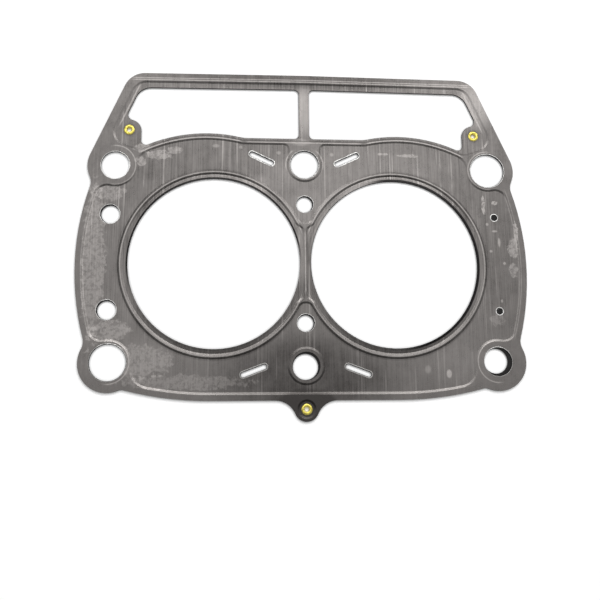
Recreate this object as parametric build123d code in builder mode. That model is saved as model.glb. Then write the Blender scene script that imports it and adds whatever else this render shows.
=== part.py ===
from build123d import *
from math import atan2, cos, degrees, radians, sin, sqrt
import os

# Cylinder head gasket for a two-cylinder engine, built up from pressed steel sheets.
# All sizes are in millimetres. The origin is midway between the two bores, on the
# surface that the gasket lies on. X runs from bore to bore and Y towards the windows.

# Sheets and embossing
sheet_t = 0.25
spacer_t = 0.40
step_h = 0.30
flank_w = 0.95

# Bores
bore_dia = 81.0
bore_pitch = 86.0
bore_land = 2.2
bead_crest = 0.6
web_bead_end = 16.2
web_bead_spread = 2.4
web_bead_fillet = 1.6
web_apex_y = 19.36
apex_fillet = 3.3

# Outline
side_reach = 107.5
side_r = 124.0
rear_lobe_r = 13.1
front_lobe_r = 13.5
side_notch_r = 7.0
front_edge_y = 63.75
front_flat = 44.0
front_arc_r = 158.0
front_notch_r = 3.0
rear_edge_y = 94.1
rear_fall = 0.8
slant_deg = 23.3
rear_corner_r = 10.5
edge_land = 2.7
rear_root_r = 8.0
front_root_r = 10.0
side_root_r = 6.5

# Head bolt and dowel holes, the corner ones set in from the side
corner_inset = 16.75
corner_x = side_reach - corner_inset
corner_y = 46.5
mid_y = 48.2
bolt_dia = 13.5
dowel_dia = 17.0
mid_rear_dia = 14.0
mid_front_dia = 13.0
corner_seal_r = 9.65
mid_seal_r = 7.85
mid_neck_half = 6.95
mid_neck_fillet = 3.4

# Coolant holes and slots
side_hole_dia = 9.3
side_hole_inset = 15.2
side_hole_x = side_reach - side_hole_inset
side_hole_y = 22.6
centre_hole_dia = 8.3
centre_hole_y = 28.4
vent_dia = 3.2
vent_inset = 14.5
vent_x = side_reach - vent_inset
vent_y = 22.8
slot_len = 13.0
slot_w = 2.6
rear_slot_x = 20.8
rear_slot_y = 51.0
rear_slot_tilt = 25.0
front_slot_x = 24.35
front_slot_y = 50.35
front_slot_tilt = 20.5

# Windows
frame_w = 7.3
divider_w = 4.7
window_front_y = 61.15
window_arc_x = 46.5
window_arc_y = -8.85
window_arc_r = 72.0
window_kink_r = 14.0
window_corner_r = 2.5
window_rear_r = 8.0
window_land = 0.7
frame_land = 2.4
window_valley_inset = 11.75
window_valley_x = corner_x - window_valley_inset
window_valley_deg = 18.6
window_valley_r = 7.0
window_heel_r = 6.85

# Eyelets and their tabs
eyelet_inset = 6.0
eyelet_x = corner_x - eyelet_inset
rear_tab_y = 63.8
eyelet_off_tab = 0.5
eyelet_y = rear_tab_y + eyelet_off_tab
eyelet_front_out = 3.95
eyelet_front_y = front_edge_y + eyelet_front_out
eyelet_bore = 2.3
eyelet_shank = 3.3
eyelet_flange = 5.1
eyelet_flange_t = 0.45
eyelet_foot_t = 0.25
eyelet_roll = 0.22
eyelet_throat = 0.25
eyelet_foot_bevel = 0.1
eyelet_clearance = 0.05
rear_tab_r = 5.6
rear_tab_root_r = 3.0
front_tab_r = 5.6
front_tab_root_r = 10.0
eyelet_seat_r = 4.4

# Spacer sheet against the two outer ones
spacer_inset = 0.15
spacer_slot_w = 2.2
spacer_edge_gap = 0.2
spacer_front_gap = 1.0
spacer_front_slip = 1.13
spacer_front_lift = 0.25
spacer_mid_gap = 0.6
spacer_mid_slip = 0.42
spacer_coolant_gap = 0.35
spacer_coolant_slip = 0.24

# Heights through the stack
spacer_z = sheet_t + step_h
top_z = spacer_z + spacer_t
stack_t = top_z + step_h + sheet_t
step_taper = degrees(atan2(flank_w, step_h))

# Outline lines that follow from the sizes above
side_cx = side_reach - side_r
slant = Vector(cos(radians(slant_deg)), sin(radians(slant_deg)))
slant_run = Vector(-slant.Y, slant.X)
slant_foot = Vector(corner_x, corner_y) + slant * rear_lobe_r
rear_run = Vector(-1, rear_fall / side_reach).normalized()
far = 2 * side_reach

# Round holes: X, Y, diameter in the two outer sheets
bore_centres = [(-bore_pitch / 2, 0), (bore_pitch / 2, 0)]
sheet_bores = [(x, y, bore_dia) for x, y in bore_centres]
sheet_holes = [
    (-corner_x, corner_y, bolt_dia),
    (corner_x, -corner_y, bolt_dia),
    (corner_x, corner_y, dowel_dia),
    (-corner_x, -corner_y, dowel_dia),
    (0, mid_y, mid_rear_dia),
    (0, -mid_y, mid_front_dia),
    (-side_hole_x, side_hole_y, side_hole_dia),
    (-side_hole_x, -side_hole_y, side_hole_dia),
    (0, centre_hole_y, centre_hole_dia),
    (0, -centre_hole_y, centre_hole_dia),
]

# The spacer's own holes against those: smaller in radius, then moved in X and Y
spacer_hole_fits = [
    (0.0, 0.0, 0.0),
    (spacer_front_gap, -spacer_front_slip, spacer_front_lift),
    (spacer_edge_gap, 0.0, 0.0),
    (spacer_edge_gap, 0.0, 0.0),
    (spacer_edge_gap, 0.0, 0.0),
    (spacer_mid_gap, -spacer_mid_slip, -spacer_mid_slip),
    (spacer_coolant_gap, spacer_coolant_slip, -spacer_coolant_slip),
    (spacer_coolant_gap, spacer_coolant_slip, -spacer_coolant_slip),
    (spacer_coolant_gap, -spacer_coolant_slip, -spacer_coolant_slip),
    (spacer_coolant_gap, -spacer_coolant_slip, -spacer_coolant_slip),
]
spacer_holes = [
    (x + slip_x, y + slip_y, dia - 2 * smaller)
    for (x, y, dia), (smaller, slip_x, slip_y) in zip(sheet_holes, spacer_hole_fits)
]
spacer_bores = [
    (-bore_pitch / 2, 0, bore_dia),
    (bore_pitch / 2, 0, bore_dia - 2 * spacer_edge_gap),
]
vents = [(vent_x, vent_y), (vent_x, -vent_y)]
eyelets = {
    "eyelet_left": (-eyelet_x, eyelet_y),
    "eyelet_right": (eyelet_x, eyelet_y),
    "eyelet_front": (0, -eyelet_front_y),
}
slots = [
    (side * x, y, -side * tilt)
    for side in (-1, 1)
    for x, y, tilt in (
        (rear_slot_x, rear_slot_y, -rear_slot_tilt),
        (front_slot_x, -front_slot_y, front_slot_tilt),
    )
]


def crossing(point, direction, other, other_direction):
    """The point where two straight lines meet."""
    gap = other - point
    turn = direction.X * other_direction.Y - direction.Y * other_direction.X
    along = (gap.X * other_direction.Y - gap.Y * other_direction.X) / turn
    return point + direction * along


def corners_at(sketch, *points):
    """The corner of the sketch nearest to each point."""
    return [min(sketch.vertices(), key=lambda v: (v.center() - Vector(*p)).length) for p in points]


def rear_line(inset):
    """A point on the crowned rear edge, moved in by the inset."""
    return Vector(0, rear_edge_y - inset)


def slant_line(inset):
    """A point on the slanted rear side, moved in by the inset."""
    return slant_foot - slant * inset


def window_arc_at(x, inset):
    """Height of the windows' front arc at x, on an arc moved out by the inset."""
    radius = window_arc_r - inset
    return window_arc_y + sqrt(radius**2 - (x - window_arc_x) ** 2)


def window_kink(inset):
    """Where the straight front edge of a window turns into its arc."""
    rise = window_front_y - inset - window_arc_y
    return window_arc_x - sqrt((window_arc_r - inset) ** 2 - rise**2)


def front_arc_y(x, inset):
    """Height of the curved front edge at x, moved in by the inset."""
    centre_y = front_arc_r - front_edge_y
    return centre_y - sqrt((front_arc_r - inset) ** 2 - (x - front_flat) ** 2)


def side_arc_x(y, inset):
    """Reach of the bowed side at a height, moved in by the inset."""
    return side_cx + sqrt((side_r - inset) ** 2 - y**2)


def arc_through(start, end, height_at):
    """An arc between two x values on a curve that is a circle."""
    middle = (start + end) / 2
    return ThreePointArc(
        (start, height_at(start)), (middle, height_at(middle)), (end, height_at(end))
    )


def side_arc(y, inset):
    """The bowed side between -y and y."""
    return ThreePointArc(
        (side_arc_x(y, inset), -y), (side_arc_x(0, inset), 0), (side_arc_x(y, inset), y)
    )


def sheet_outline():
    """The outer outline that the sheets share."""
    rear_corner = crossing(rear_line(0), rear_run, slant_foot, slant_run)
    front_end = corner_x - front_lobe_r / 4
    with BuildSketch() as outline:
        with BuildLine():
            Line((0, -front_edge_y), (front_flat, -front_edge_y))
            arc_through(front_flat, front_end, lambda x: front_arc_y(x, 0))
            Line((front_end, front_arc_y(front_end, 0)), (corner_x, -corner_y))
            Line((corner_x, -corner_y), (side_arc_x(corner_y, 0), -corner_y))
            side_arc(corner_y, 0)
            Line((side_arc_x(corner_y, 0), corner_y), (corner_x, corner_y))
            Line((corner_x, corner_y), slant_foot)
            Line(slant_foot, rear_corner)
            Line(rear_corner, rear_line(0))
            Line(rear_line(0), (0, -front_edge_y))
        make_face()
        with Locations((corner_x, corner_y)):
            Circle(rear_lobe_r)
        with Locations((corner_x, -corner_y)):
            Circle(front_lobe_r)
        mirror(about=Plane.YZ)
        with Locations((0, -eyelet_front_y)):
            Circle(front_tab_r)
        for side in (-1, 1):
            notch_x = side * (corner_x + rear_lobe_r * 0.85)
            for end in (-1, 1):
                notch = corners_at(outline, (notch_x, end * (corner_y - rear_lobe_r * 0.58)))
                fillet(notch, side_notch_r)
            fillet(corners_at(outline, (side * (corner_x - 6), -corner_y - 12)), front_notch_r)
            fillet(corners_at(outline, (side * front_tab_r, -front_edge_y)), front_tab_root_r)
            fillet(corners_at(outline, (side * rear_corner.X, rear_corner.Y)), rear_corner_r)
    return outline.sketch


def window_opening():
    """The right window, with the eyelet tab that bulges into it."""
    half = divider_w / 2
    kink = window_kink(0)
    tab_x = eyelet_x - rear_tab_r
    rear_corner = crossing(rear_line(frame_w), rear_run, slant_line(frame_w), slant_run)
    arc_end = eyelet_x
    rear_start = crossing(rear_line(frame_w), rear_run, Vector(half, 0), Vector(0, 1))
    front = Vector(arc_end, window_arc_at(arc_end, 0))
    slant_start = crossing(slant_line(frame_w), slant_run, front, Vector(1, 0))
    with BuildSketch() as window:
        with BuildLine():
            Line((half, window_front_y), (kink, window_front_y))
            arc_through(kink, arc_end, lambda x: window_arc_at(x, 0))
            Line(front, slant_start)
            Line(slant_start, rear_corner)
            Line(rear_corner, rear_start)
            Line(rear_start, (half, window_front_y))
        make_face()
        with Locations((eyelet_x, rear_tab_y)):
            Circle(rear_tab_r, mode=Mode.SUBTRACT)
        with Locations((tab_x, rear_tab_y)):
            Rectangle(far, far, align=(Align.MIN, Align.MAX), mode=Mode.SUBTRACT)
        fillet(corners_at(window, rear_corner), window_rear_r)
        fillet(corners_at(window, rear_start), window_corner_r)
        fillet(corners_at(window, (half, window_front_y)), window_corner_r)
        fillet(corners_at(window, (kink, window_front_y)), window_kink_r)
        fillet(corners_at(window, (tab_x, window_arc_at(tab_x, 0))), window_corner_r)
        fillet(corners_at(window, (eyelet_x + 1, rear_tab_y + rear_tab_r)), rear_tab_root_r)
    return window.sketch


def window_seat():
    """The area round both windows that is pressed down, at its upper edge."""
    front_inset = window_land + flank_w
    frame_inset = frame_w - frame_land - flank_w
    kink = window_kink(front_inset)
    valley = Vector(window_valley_x, window_arc_at(window_valley_x, front_inset))
    valley_run = Vector(cos(radians(window_valley_deg)), sin(radians(window_valley_deg)))
    heel = crossing(valley, valley_run, slant_line(frame_inset), slant_run)
    rear_corner = crossing(rear_line(frame_inset), rear_run, slant_line(frame_inset), slant_run)
    front_y = window_front_y - front_inset
    with BuildSketch() as seat:
        with BuildLine():
            Line((0, front_y), (kink, front_y))
            arc_through(kink, window_valley_x, lambda x: window_arc_at(x, front_inset))
            Line(valley, heel)
            Line(heel, rear_corner)
            Line(rear_corner, rear_line(frame_inset))
            Line(rear_line(frame_inset), (0, front_y))
        make_face()
        fillet(corners_at(seat, (kink, front_y)), window_kink_r)
        fillet(corners_at(seat, valley), window_valley_r + flank_w)
        fillet(corners_at(seat, heel), window_heel_r + flank_w)
        fillet(corners_at(seat, rear_corner), window_rear_r)
        mirror(about=Plane.YZ)
    return seat.sketch


def coolant_field():
    """The pressed-down coolant area between the bores and the outer seal."""
    front_inset = window_land + flank_w + bead_crest
    rear_y = window_front_y - front_inset
    kink = window_kink(front_inset)
    rear_end = corner_x - corner_seal_r / 2
    side_end = corner_y - corner_seal_r / 2
    front_end = corner_x - corner_seal_r / 4
    with BuildSketch() as field:
        with BuildLine():
            Line((0, edge_land - front_edge_y), (front_flat, edge_land - front_edge_y))
            arc_through(front_flat, front_end, lambda x: front_arc_y(x, edge_land))
            Line((front_end, front_arc_y(front_end, edge_land)), (corner_x, -corner_y))
            Line((corner_x, -corner_y), (side_arc_x(side_end, edge_land), -side_end))
            side_arc(side_end, edge_land)
            Line((side_arc_x(side_end, edge_land), side_end), (corner_x, corner_y))
            Line((corner_x, corner_y), (rear_end, window_arc_at(rear_end, front_inset)))
            arc_through(rear_end, kink, lambda x: window_arc_at(x, front_inset))
            Line((kink, rear_y), (0, rear_y))
            Line((0, rear_y), (0, edge_land - front_edge_y))
        make_face()
        with Locations((corner_x, corner_y), (corner_x, -corner_y)):
            Circle(corner_seal_r, mode=Mode.SUBTRACT)
        mirror(about=Plane.YZ)
        with Locations((0, mid_y)):
            Circle(mid_seal_r, mode=Mode.SUBTRACT)
            Rectangle(
                2 * mid_neck_half, far, align=(Align.CENTER, Align.MIN), mode=Mode.SUBTRACT
            )
        for side in (-1, 1):
            fillet(corners_at(field, (side * mid_neck_half, rear_y)), mid_neck_fillet)
            fillet(corners_at(field, (side * (corner_x - 8), corner_y + 3)), rear_root_r)
            fillet(corners_at(field, (side * (corner_x + 8), corner_y - 8)), side_root_r)
            fillet(corners_at(field, (side * (corner_x + 8), 8 - corner_y)), side_root_r)
            fillet(corners_at(field, (side * (corner_x - 4), -corner_y - 9)), front_root_r)
    return field.sketch


def bead_outline():
    """The figure eight round both bores where their beads stand on the coolant field."""
    with BuildSketch() as outline:
        Rectangle(bore_pitch, 2 * web_apex_y)
        with Locations(*bore_centres):
            Circle(bore_dia / 2 + bore_land + 2 * flank_w + bead_crest)
        apexes = outline.vertices().filter_by(lambda corner: abs(corner.Y) > web_bead_end)
        fillet(apexes, apex_fillet)
    return outline.sketch


def bore_seat(side):
    """The pressed-down land round one bore, at its upper edge."""
    land_r = bore_dia / 2 + bore_land
    web_half = bead_crest / 2 + flank_w
    split_y = web_bead_end + web_bead_spread
    split_x = bore_pitch / 2 - sqrt(land_r**2 - split_y**2)
    with BuildSketch() as seat:
        with Locations((side * bore_pitch / 2, 0)):
            Circle(land_r)
        with BuildLine():
            Polyline(
                (side * bore_pitch / 2, -split_y),
                (side * split_x, -split_y),
                (side * web_half, -web_bead_end),
                (side * web_half, web_bead_end),
                (side * split_x, split_y),
                (side * bore_pitch / 2, split_y),
                close=True,
            )
        make_face()
        Rectangle(2 * web_half, far, mode=Mode.SUBTRACT)
        for end in (-1, 1):
            fillet(corners_at(seat, (side * web_half, end * web_bead_end)), web_bead_fillet)
            fillet(corners_at(seat, (side * split_x, end * split_y)), apex_fillet)
        offset(amount=flank_w)
    return seat.sketch


def pressed(profile):
    """A shallow raised form whose flanks lean in from the profile."""
    with BuildPart() as form:
        with BuildSketch():
            add(profile)
        extrude(amount=step_h, taper=step_taper)
    return form.part


def undercut(profile):
    """The same form upside down, so that it is widest at the top."""
    return Pos(0, 0, step_h) * mirror(pressed(profile), about=Plane.XY)


def disc(x, y, radius):
    """A round profile."""
    with BuildSketch() as profile:
        with Locations((x, y)):
            Circle(radius)
    return profile.sketch


def openings(round_holes, slot_width, inset):
    """What is cut through every sheet, with one sheet's own sizes."""
    window = window_opening()
    with BuildSketch() as cut:
        add(window)
        mirror(about=Plane.YZ)
        if inset:
            offset(amount=-inset)
        for x, y, dia in round_holes:
            with Locations((x, y)):
                Circle(dia / 2)
        for x, y, tilt in slots:
            with Locations(Location((x, y), tilt)):
                SlotOverall(slot_len - slot_w + slot_width, slot_width)
        with Locations(*eyelets.values()):
            Circle(eyelet_shank / 2 + eyelet_clearance)
    return cut.sketch


# Pressed form of one sheet: everything that stands up from its flat side
bead_core = undercut(bead_outline())
mid_front_core = undercut(disc(0, -mid_y, mid_seal_r + flank_w))
field_form = pressed(coolant_field()) - bead_core - mid_front_core
raised_forms = [
    field_form,
    pressed(bore_seat(-1)),
    pressed(bore_seat(1)),
    pressed(window_seat()),
    pressed(disc(0, -eyelet_front_y, eyelet_seat_r)),
]

# Lower sheet: its beads point down and its pressed areas carry the spacer
with BuildPart() as bottom_layer:
    with BuildSketch():
        add(sheet_outline())
    extrude(amount=sheet_t)
    for form in raised_forms:
        add(Pos(0, 0, sheet_t) * form)
    for form in raised_forms:
        add(form, mode=Mode.SUBTRACT)
    with BuildSketch():
        add(openings(sheet_bores + sheet_holes, slot_w, 0))
        with Locations(*vents):
            Circle(vent_dia / 2)
    extrude(amount=spacer_z, mode=Mode.SUBTRACT)

# Upper sheet: the same pressing turned over
with BuildPart() as top_layer:
    mirror(bottom_layer.part, about=Plane.XY.offset(stack_t / 2))

# Flat spacer between the pressed areas of the two sheets
with BuildPart() as spacer_layer:
    with BuildSketch(Plane.XY.offset(spacer_z)):
        add(sheet_outline())
        offset(amount=-spacer_inset)
        add(
            openings(spacer_bores + spacer_holes, spacer_slot_w, spacer_inset),
            mode=Mode.SUBTRACT,
        )
    extrude(amount=spacer_t)


def eyelet(x, y):
    """A hollow rivet, rolled over at both ends, that holds the three sheets together."""
    low = spacer_z - sheet_t
    high = top_z + sheet_t
    bottom = low - eyelet_foot_t
    top = high + eyelet_flange_t
    bore_r = eyelet_bore / 2
    flange_r = eyelet_flange / 2
    corner = (Align.MIN, Align.MIN)
    section = Plane(origin=(x, y, 0), x_dir=(1, 0, 0), z_dir=(0, -1, 0))
    with BuildPart() as rivet:
        with BuildSketch(section) as profile:
            with Locations((bore_r, bottom)):
                Rectangle(eyelet_shank / 2 - bore_r, top - bottom, align=corner)
                Rectangle(flange_r - bore_r, eyelet_foot_t, align=corner)
            with Locations((bore_r, high)):
                Rectangle(flange_r - bore_r, eyelet_flange_t, align=corner)
            chamfer(corners_at(profile, (flange_r, top)), eyelet_roll)
            chamfer(corners_at(profile, (bore_r, top)), eyelet_throat)
            chamfer(corners_at(profile, (flange_r, bottom)), eyelet_foot_bevel)
        revolve(axis=Axis((x, y, 0), (0, 0, 1)))
    return rivet


os.makedirs("parts", exist_ok=True)
layers = {
    "bottom_layer": bottom_layer,
    "spacer_layer": spacer_layer,
    "top_layer": top_layer,
}
rivets = {name: eyelet(x, y) for name, (x, y) in eyelets.items()}
for name, piece in {**layers, **rivets}.items():
    piece.part.label = name
    export_step(piece.part, f"parts/{name}.step")
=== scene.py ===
import logging
import math
from dataclasses import dataclass, field
from enum import Enum

import bpy
from mathutils import Euler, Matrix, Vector


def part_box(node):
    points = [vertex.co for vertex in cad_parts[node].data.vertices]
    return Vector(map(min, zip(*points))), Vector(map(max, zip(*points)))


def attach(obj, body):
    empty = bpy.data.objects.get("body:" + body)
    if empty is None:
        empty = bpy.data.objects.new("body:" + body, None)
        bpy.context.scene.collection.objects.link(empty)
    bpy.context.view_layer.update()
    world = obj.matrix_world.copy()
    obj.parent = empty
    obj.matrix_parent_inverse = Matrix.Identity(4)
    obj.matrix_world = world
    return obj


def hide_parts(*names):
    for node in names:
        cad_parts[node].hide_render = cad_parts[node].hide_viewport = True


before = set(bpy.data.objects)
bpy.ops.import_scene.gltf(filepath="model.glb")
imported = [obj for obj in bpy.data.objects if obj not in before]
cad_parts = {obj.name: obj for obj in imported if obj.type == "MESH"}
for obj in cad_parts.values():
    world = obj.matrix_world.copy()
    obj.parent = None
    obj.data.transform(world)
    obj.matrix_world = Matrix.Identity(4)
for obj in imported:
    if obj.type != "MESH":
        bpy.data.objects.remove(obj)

logging.basicConfig(level=logging.INFO, format="%(message)s")
log = logging.getLogger("gasket")

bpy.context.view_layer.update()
MM = 0.001
WHITE = (1.0, 1.0, 1.0)

Pair = tuple[float, float]
Triple = tuple[float, float, float]

# The sizes and places below are the solids' own, in millimetres

# The pressing: the width of a flank, half the flat top of a crest, and both upper surfaces
FLANK_W = 0.95
CREST_HALF = 0.3
PRESSED_Z = 1.2
UPPER_Z = 1.5

# The bores, with the flat land round each and the crest of the bead behind it
BORE_X = 43.0
BORE_R = 40.5
BORE_LAND = 2.2
LAND_R = BORE_R + BORE_LAND
CREST_R = LAND_R + FLANK_W + CREST_HALF

# The outline: each side is one arc, and the front is flat in the middle with an arc to each side
SIDE_REACH = 107.5
SIDE_R = 124.0
FRONT_EDGE_Y = -63.75
FRONT_FLAT = 44.0
FRONT_R = 158.0
EDGE_LAND = 2.7

# The corner holes, with the lobe and the ring round each, the middle holes and the eyelets
CORNER_X = 90.75
CORNER_Y = 46.5
CORNER_LOBE_R = 13.1
CORNER_SEAL_R = 9.65
MIDDLE_Y = 48.2
EYELET_X = 84.75
EYELET_Y = 64.3

# The windows: the arc of their front sides, the straight piece in the middle and their land
WINDOW_AXIS_X = 46.5
WINDOW_AXIS_Y = -8.85
WINDOW_R = 72.0
WINDOW_FRONT_Y = 61.15
WINDOW_LAND = 0.7

# The window frame: its rear edge, which falls a little to both sides, and its bars' angle
REAR_EDGE_Y = 94.1
REAR_FALL = 0.8
FRAME_LAND = 2.4
SLANT = math.radians(23.3)


class Layer(Enum):
    """The sheets of the gasket, by the names of their nodes."""

    TOP = "top_layer"
    SPACER = "spacer_layer"
    BOTTOM = "bottom_layer"


class Value:
    """A number that varies over a surface, written with Python's own operators.

    Args:
        book: the node book that makes the nodes.
        socket: the output socket that carries the number.
    """

    def __init__(self, book: "NodeBook", socket: bpy.types.NodeSocket) -> None:
        """Keep the book and the socket."""
        self.book = book
        self.socket = socket

    def _maths(self, operation: str, *inputs: "Value | float") -> "Value":
        """Add one Math node.

        Args:
            operation: the node's operation.
            inputs: its inputs, in order.

        Returns:
            The node's result.
        """
        return self.book.value("ShaderNodeMath", {"operation": operation}, dict(enumerate(inputs)))

    def __add__(self, other: "Value | float") -> "Value":
        """Sum."""
        return self._maths("ADD", self, other)

    def __radd__(self, other: "Value | float") -> "Value":
        """Sum, the other way round."""
        return self._maths("ADD", other, self)

    def __sub__(self, other: "Value | float") -> "Value":
        """Difference."""
        return self._maths("SUBTRACT", self, other)

    def __rsub__(self, other: "Value | float") -> "Value":
        """Difference, the other way round."""
        return self._maths("SUBTRACT", other, self)

    def __mul__(self, other: "Value | float") -> "Value":
        """Product."""
        return self._maths("MULTIPLY", self, other)

    def __rmul__(self, other: "Value | float") -> "Value":
        """Product, the other way round."""
        return self._maths("MULTIPLY", other, self)

    def __abs__(self) -> "Value":
        """Size without sign."""
        return self._maths("ABSOLUTE", self)

    def at_least(self, other: "Value | float") -> "Value":
        """The larger of two numbers."""
        return self._maths("MAXIMUM", self, other)

    def at_most(self, other: "Value | float") -> "Value":
        """The smaller of two numbers."""
        return self._maths("MINIMUM", self, other)

    def root(self) -> "Value":
        """Square root."""
        return self._maths("SQRT", self)

    def step(self, start: float, end: float, low: float = 0.0, high: float = 1.0) -> "Value":
        """A smooth step.

        Args:
            start: where the step begins.
            end: where it ends, which may lie below start.
            low: the result before the step.
            high: the result after it.

        Returns:
            The stepped value.
        """
        if start > end:
            start, end, low, high = end, start, high, low
        return self.book.value(
            "ShaderNodeMapRange",
            {"interpolation_type": "SMOOTHSTEP"},
            {"Value": self, "From Min": start, "From Max": end, "To Min": low, "To Max": high},
        )


def distance(x: Value, y: Value) -> Value:
    """How far a point is from the place where X and Y are zero."""
    return (x * x + y * y).root()


def blended(share: Value, first: float, second: float) -> Value:
    """A number that goes from the first to the second as the share goes from 0 to 1."""
    return share * (second - first) + first


@dataclass(frozen=True)
class Point:
    """A point of a surface, on the object's own axes, in millimetres.

    Attributes:
        vector: the point as one socket.
        x: its X.
        y: its Y.
        z: its height.
    """

    vector: bpy.types.NodeSocket
    x: Value
    y: Value
    z: Value

    @property
    def wide(self) -> Value:
        """X without sign, for what is alike at the left and the right."""
        return abs(self.x)

    @property
    def high(self) -> Value:
        """Y without sign, for what is alike at the front and the rear."""
        return abs(self.y)

    @property
    def from_bore(self) -> Value:
        """Distance from the nearer bore's axis."""
        return distance(self.wide - BORE_X, self.y)


@dataclass(frozen=True)
class Noise:
    """A noise pattern.

    Attributes:
        stretch: cycles for each millimetre along X, Y and Z.
        detail: the number of octaves.
        rough: the weight of the finer octaves.
    """

    stretch: Triple
    detail: float
    rough: float


class NodeBook:
    """Makes the nodes of one tree.

    Args:
        tree: the tree, which is emptied first.
        output: the type of its output node.
    """

    def __init__(self, tree: bpy.types.NodeTree, output: str) -> None:
        """Empty the tree and add its output node."""
        self.tree = tree
        self.tree.nodes.clear()
        self.output = self.tree.nodes.new(output)

    def node(self, kind: str, settings: dict, inputs: dict) -> bpy.types.Node:
        """Add a node.

        Args:
            kind: the node's type.
            settings: its properties, set first.
            inputs: values or links for its sockets, by name or index.

        Returns:
            The new node.
        """
        made = self.tree.nodes.new(kind)
        for key, item in settings.items():
            setattr(made, key, item)
        for key, item in inputs.items():
            socket = made.inputs[key]
            if isinstance(item, Value):
                self.tree.links.new(item.socket, socket)
            elif isinstance(item, bpy.types.NodeSocket):
                self.tree.links.new(item, socket)
            elif socket.type == "RGBA":
                socket.default_value = (*item, 1.0)
            else:
                socket.default_value = item
        return made

    def value(self, kind: str, settings: dict, inputs: dict, output: str | int = 0) -> Value:
        """Add a node and wrap one of its outputs as a number.

        Args:
            kind: the node's type.
            settings: its properties.
            inputs: values or links for its sockets.
            output: the output's name or index.

        Returns:
            The wrapped output.
        """
        return Value(self, self.node(kind, settings, inputs).outputs[output])

    def blend(
        self,
        share: Value,
        first: Triple | bpy.types.NodeSocket,
        second: Triple | bpy.types.NodeSocket,
    ) -> bpy.types.NodeSocket:
        """Mix two colours.

        Args:
            share: how much of the second colour.
            first: a colour or a socket.
            second: a colour or a socket.

        Returns:
            The mixed colour's socket.
        """
        mixed = {"Factor": share, 6: first, 7: second}
        return self.node("ShaderNodeMix", {"data_type": "RGBA"}, mixed).outputs[2]

    def layered(
        self, share: Value, first: bpy.types.NodeSocket, second: bpy.types.NodeSocket
    ) -> bpy.types.NodeSocket:
        """Mix two shaders.

        Args:
            share: how much of the second shader.
            first: a shader's socket.
            second: a shader's socket.

        Returns:
            The mixed shader's socket.
        """
        return self.node("ShaderNodeMixShader", {}, {0: share, 1: first, 2: second}).outputs[0]

    def point(self) -> Point:
        """The point that is shaded, from the Object coordinates.

        Returns:
            The point in millimetres.
        """
        at = self.node("ShaderNodeTexCoord", {}, {}).outputs["Object"]
        scaling = {0: at, "Scale": 1.0 / MM}
        scaled = self.node("ShaderNodeVectorMath", {"operation": "SCALE"}, scaling).outputs[0]
        parts = self.node("ShaderNodeSeparateXYZ", {}, {0: scaled})
        return Point(scaled, *(Value(self, parts.outputs[axis]) for axis in ("X", "Y", "Z")))

    def noise(self, at: bpy.types.NodeSocket, pattern: Noise) -> Value:
        """Noise on a stretched copy of the coordinates.

        Args:
            at: the coordinates in millimetres.
            pattern: the noise's stretch and fineness.

        Returns:
            The noise, from 0 to 1.
        """
        stretched = {"Vector": at, "Scale": pattern.stretch}
        mapped = self.node("ShaderNodeMapping", {}, stretched).outputs[0]
        fineness = {"Scale": 1.0, "Detail": pattern.detail, "Roughness": pattern.rough}
        return self.value("ShaderNodeTexNoise", {}, {"Vector": mapped, **fineness})

    def direct_rays(self) -> Value:
        """Which rays see the surroundings as they are.

        Returns:
            1 for rays from the camera or sent on by gloss or glass, and 0 for others.
        """
        path = self.node("ShaderNodeLightPath", {}, {}).outputs
        kinds = ("Is Camera Ray", "Is Glossy Ray", "Is Transmission Ray")
        seen, glossy, through = (Value(self, path[kind]) for kind in kinds)
        return seen.at_least(glossy).at_least(through)

    def close(self, result: bpy.types.NodeSocket) -> None:
        """Link the last result to the tree's output."""
        self.tree.links.new(result, self.output.inputs[0])


class MaterialBook(NodeBook):
    """Makes the nodes of one new material.

    Args:
        name: the material's name.
    """

    def __init__(self, name: str) -> None:
        """Start an empty material."""
        self.material = bpy.data.materials.new(name)
        self.material.use_nodes = True
        super().__init__(self.material.node_tree, "ShaderNodeOutputMaterial")

    def finish(self, settings: dict) -> bpy.types.Material:
        """Close the material with one Principled shader.

        Args:
            settings: values or links for the shader's sockets.

        Returns:
            The finished material.
        """
        self.close(self.node("ShaderNodeBsdfPrincipled", {}, settings).outputs[0])
        return self.material


@dataclass(frozen=True)
class Stroke:
    """A line where the coat is rubbed bright, with a painted highlight along it.

    Attributes:
        reach: half its width in millimetres, where it has faded out.
        core: half the width of its brightest part in millimetres.
        strength: how far it lightens the coat.
    """

    reach: float
    core: float
    strength: float

    def along(self, away: Value) -> Value:
        """Draw the line.

        Args:
            away: the distance from its middle in millimetres.

        Returns:
            0 elsewhere and up to the strength on the line.
        """
        return abs(away).step(self.reach, self.core, 0.0, self.strength)


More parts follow.
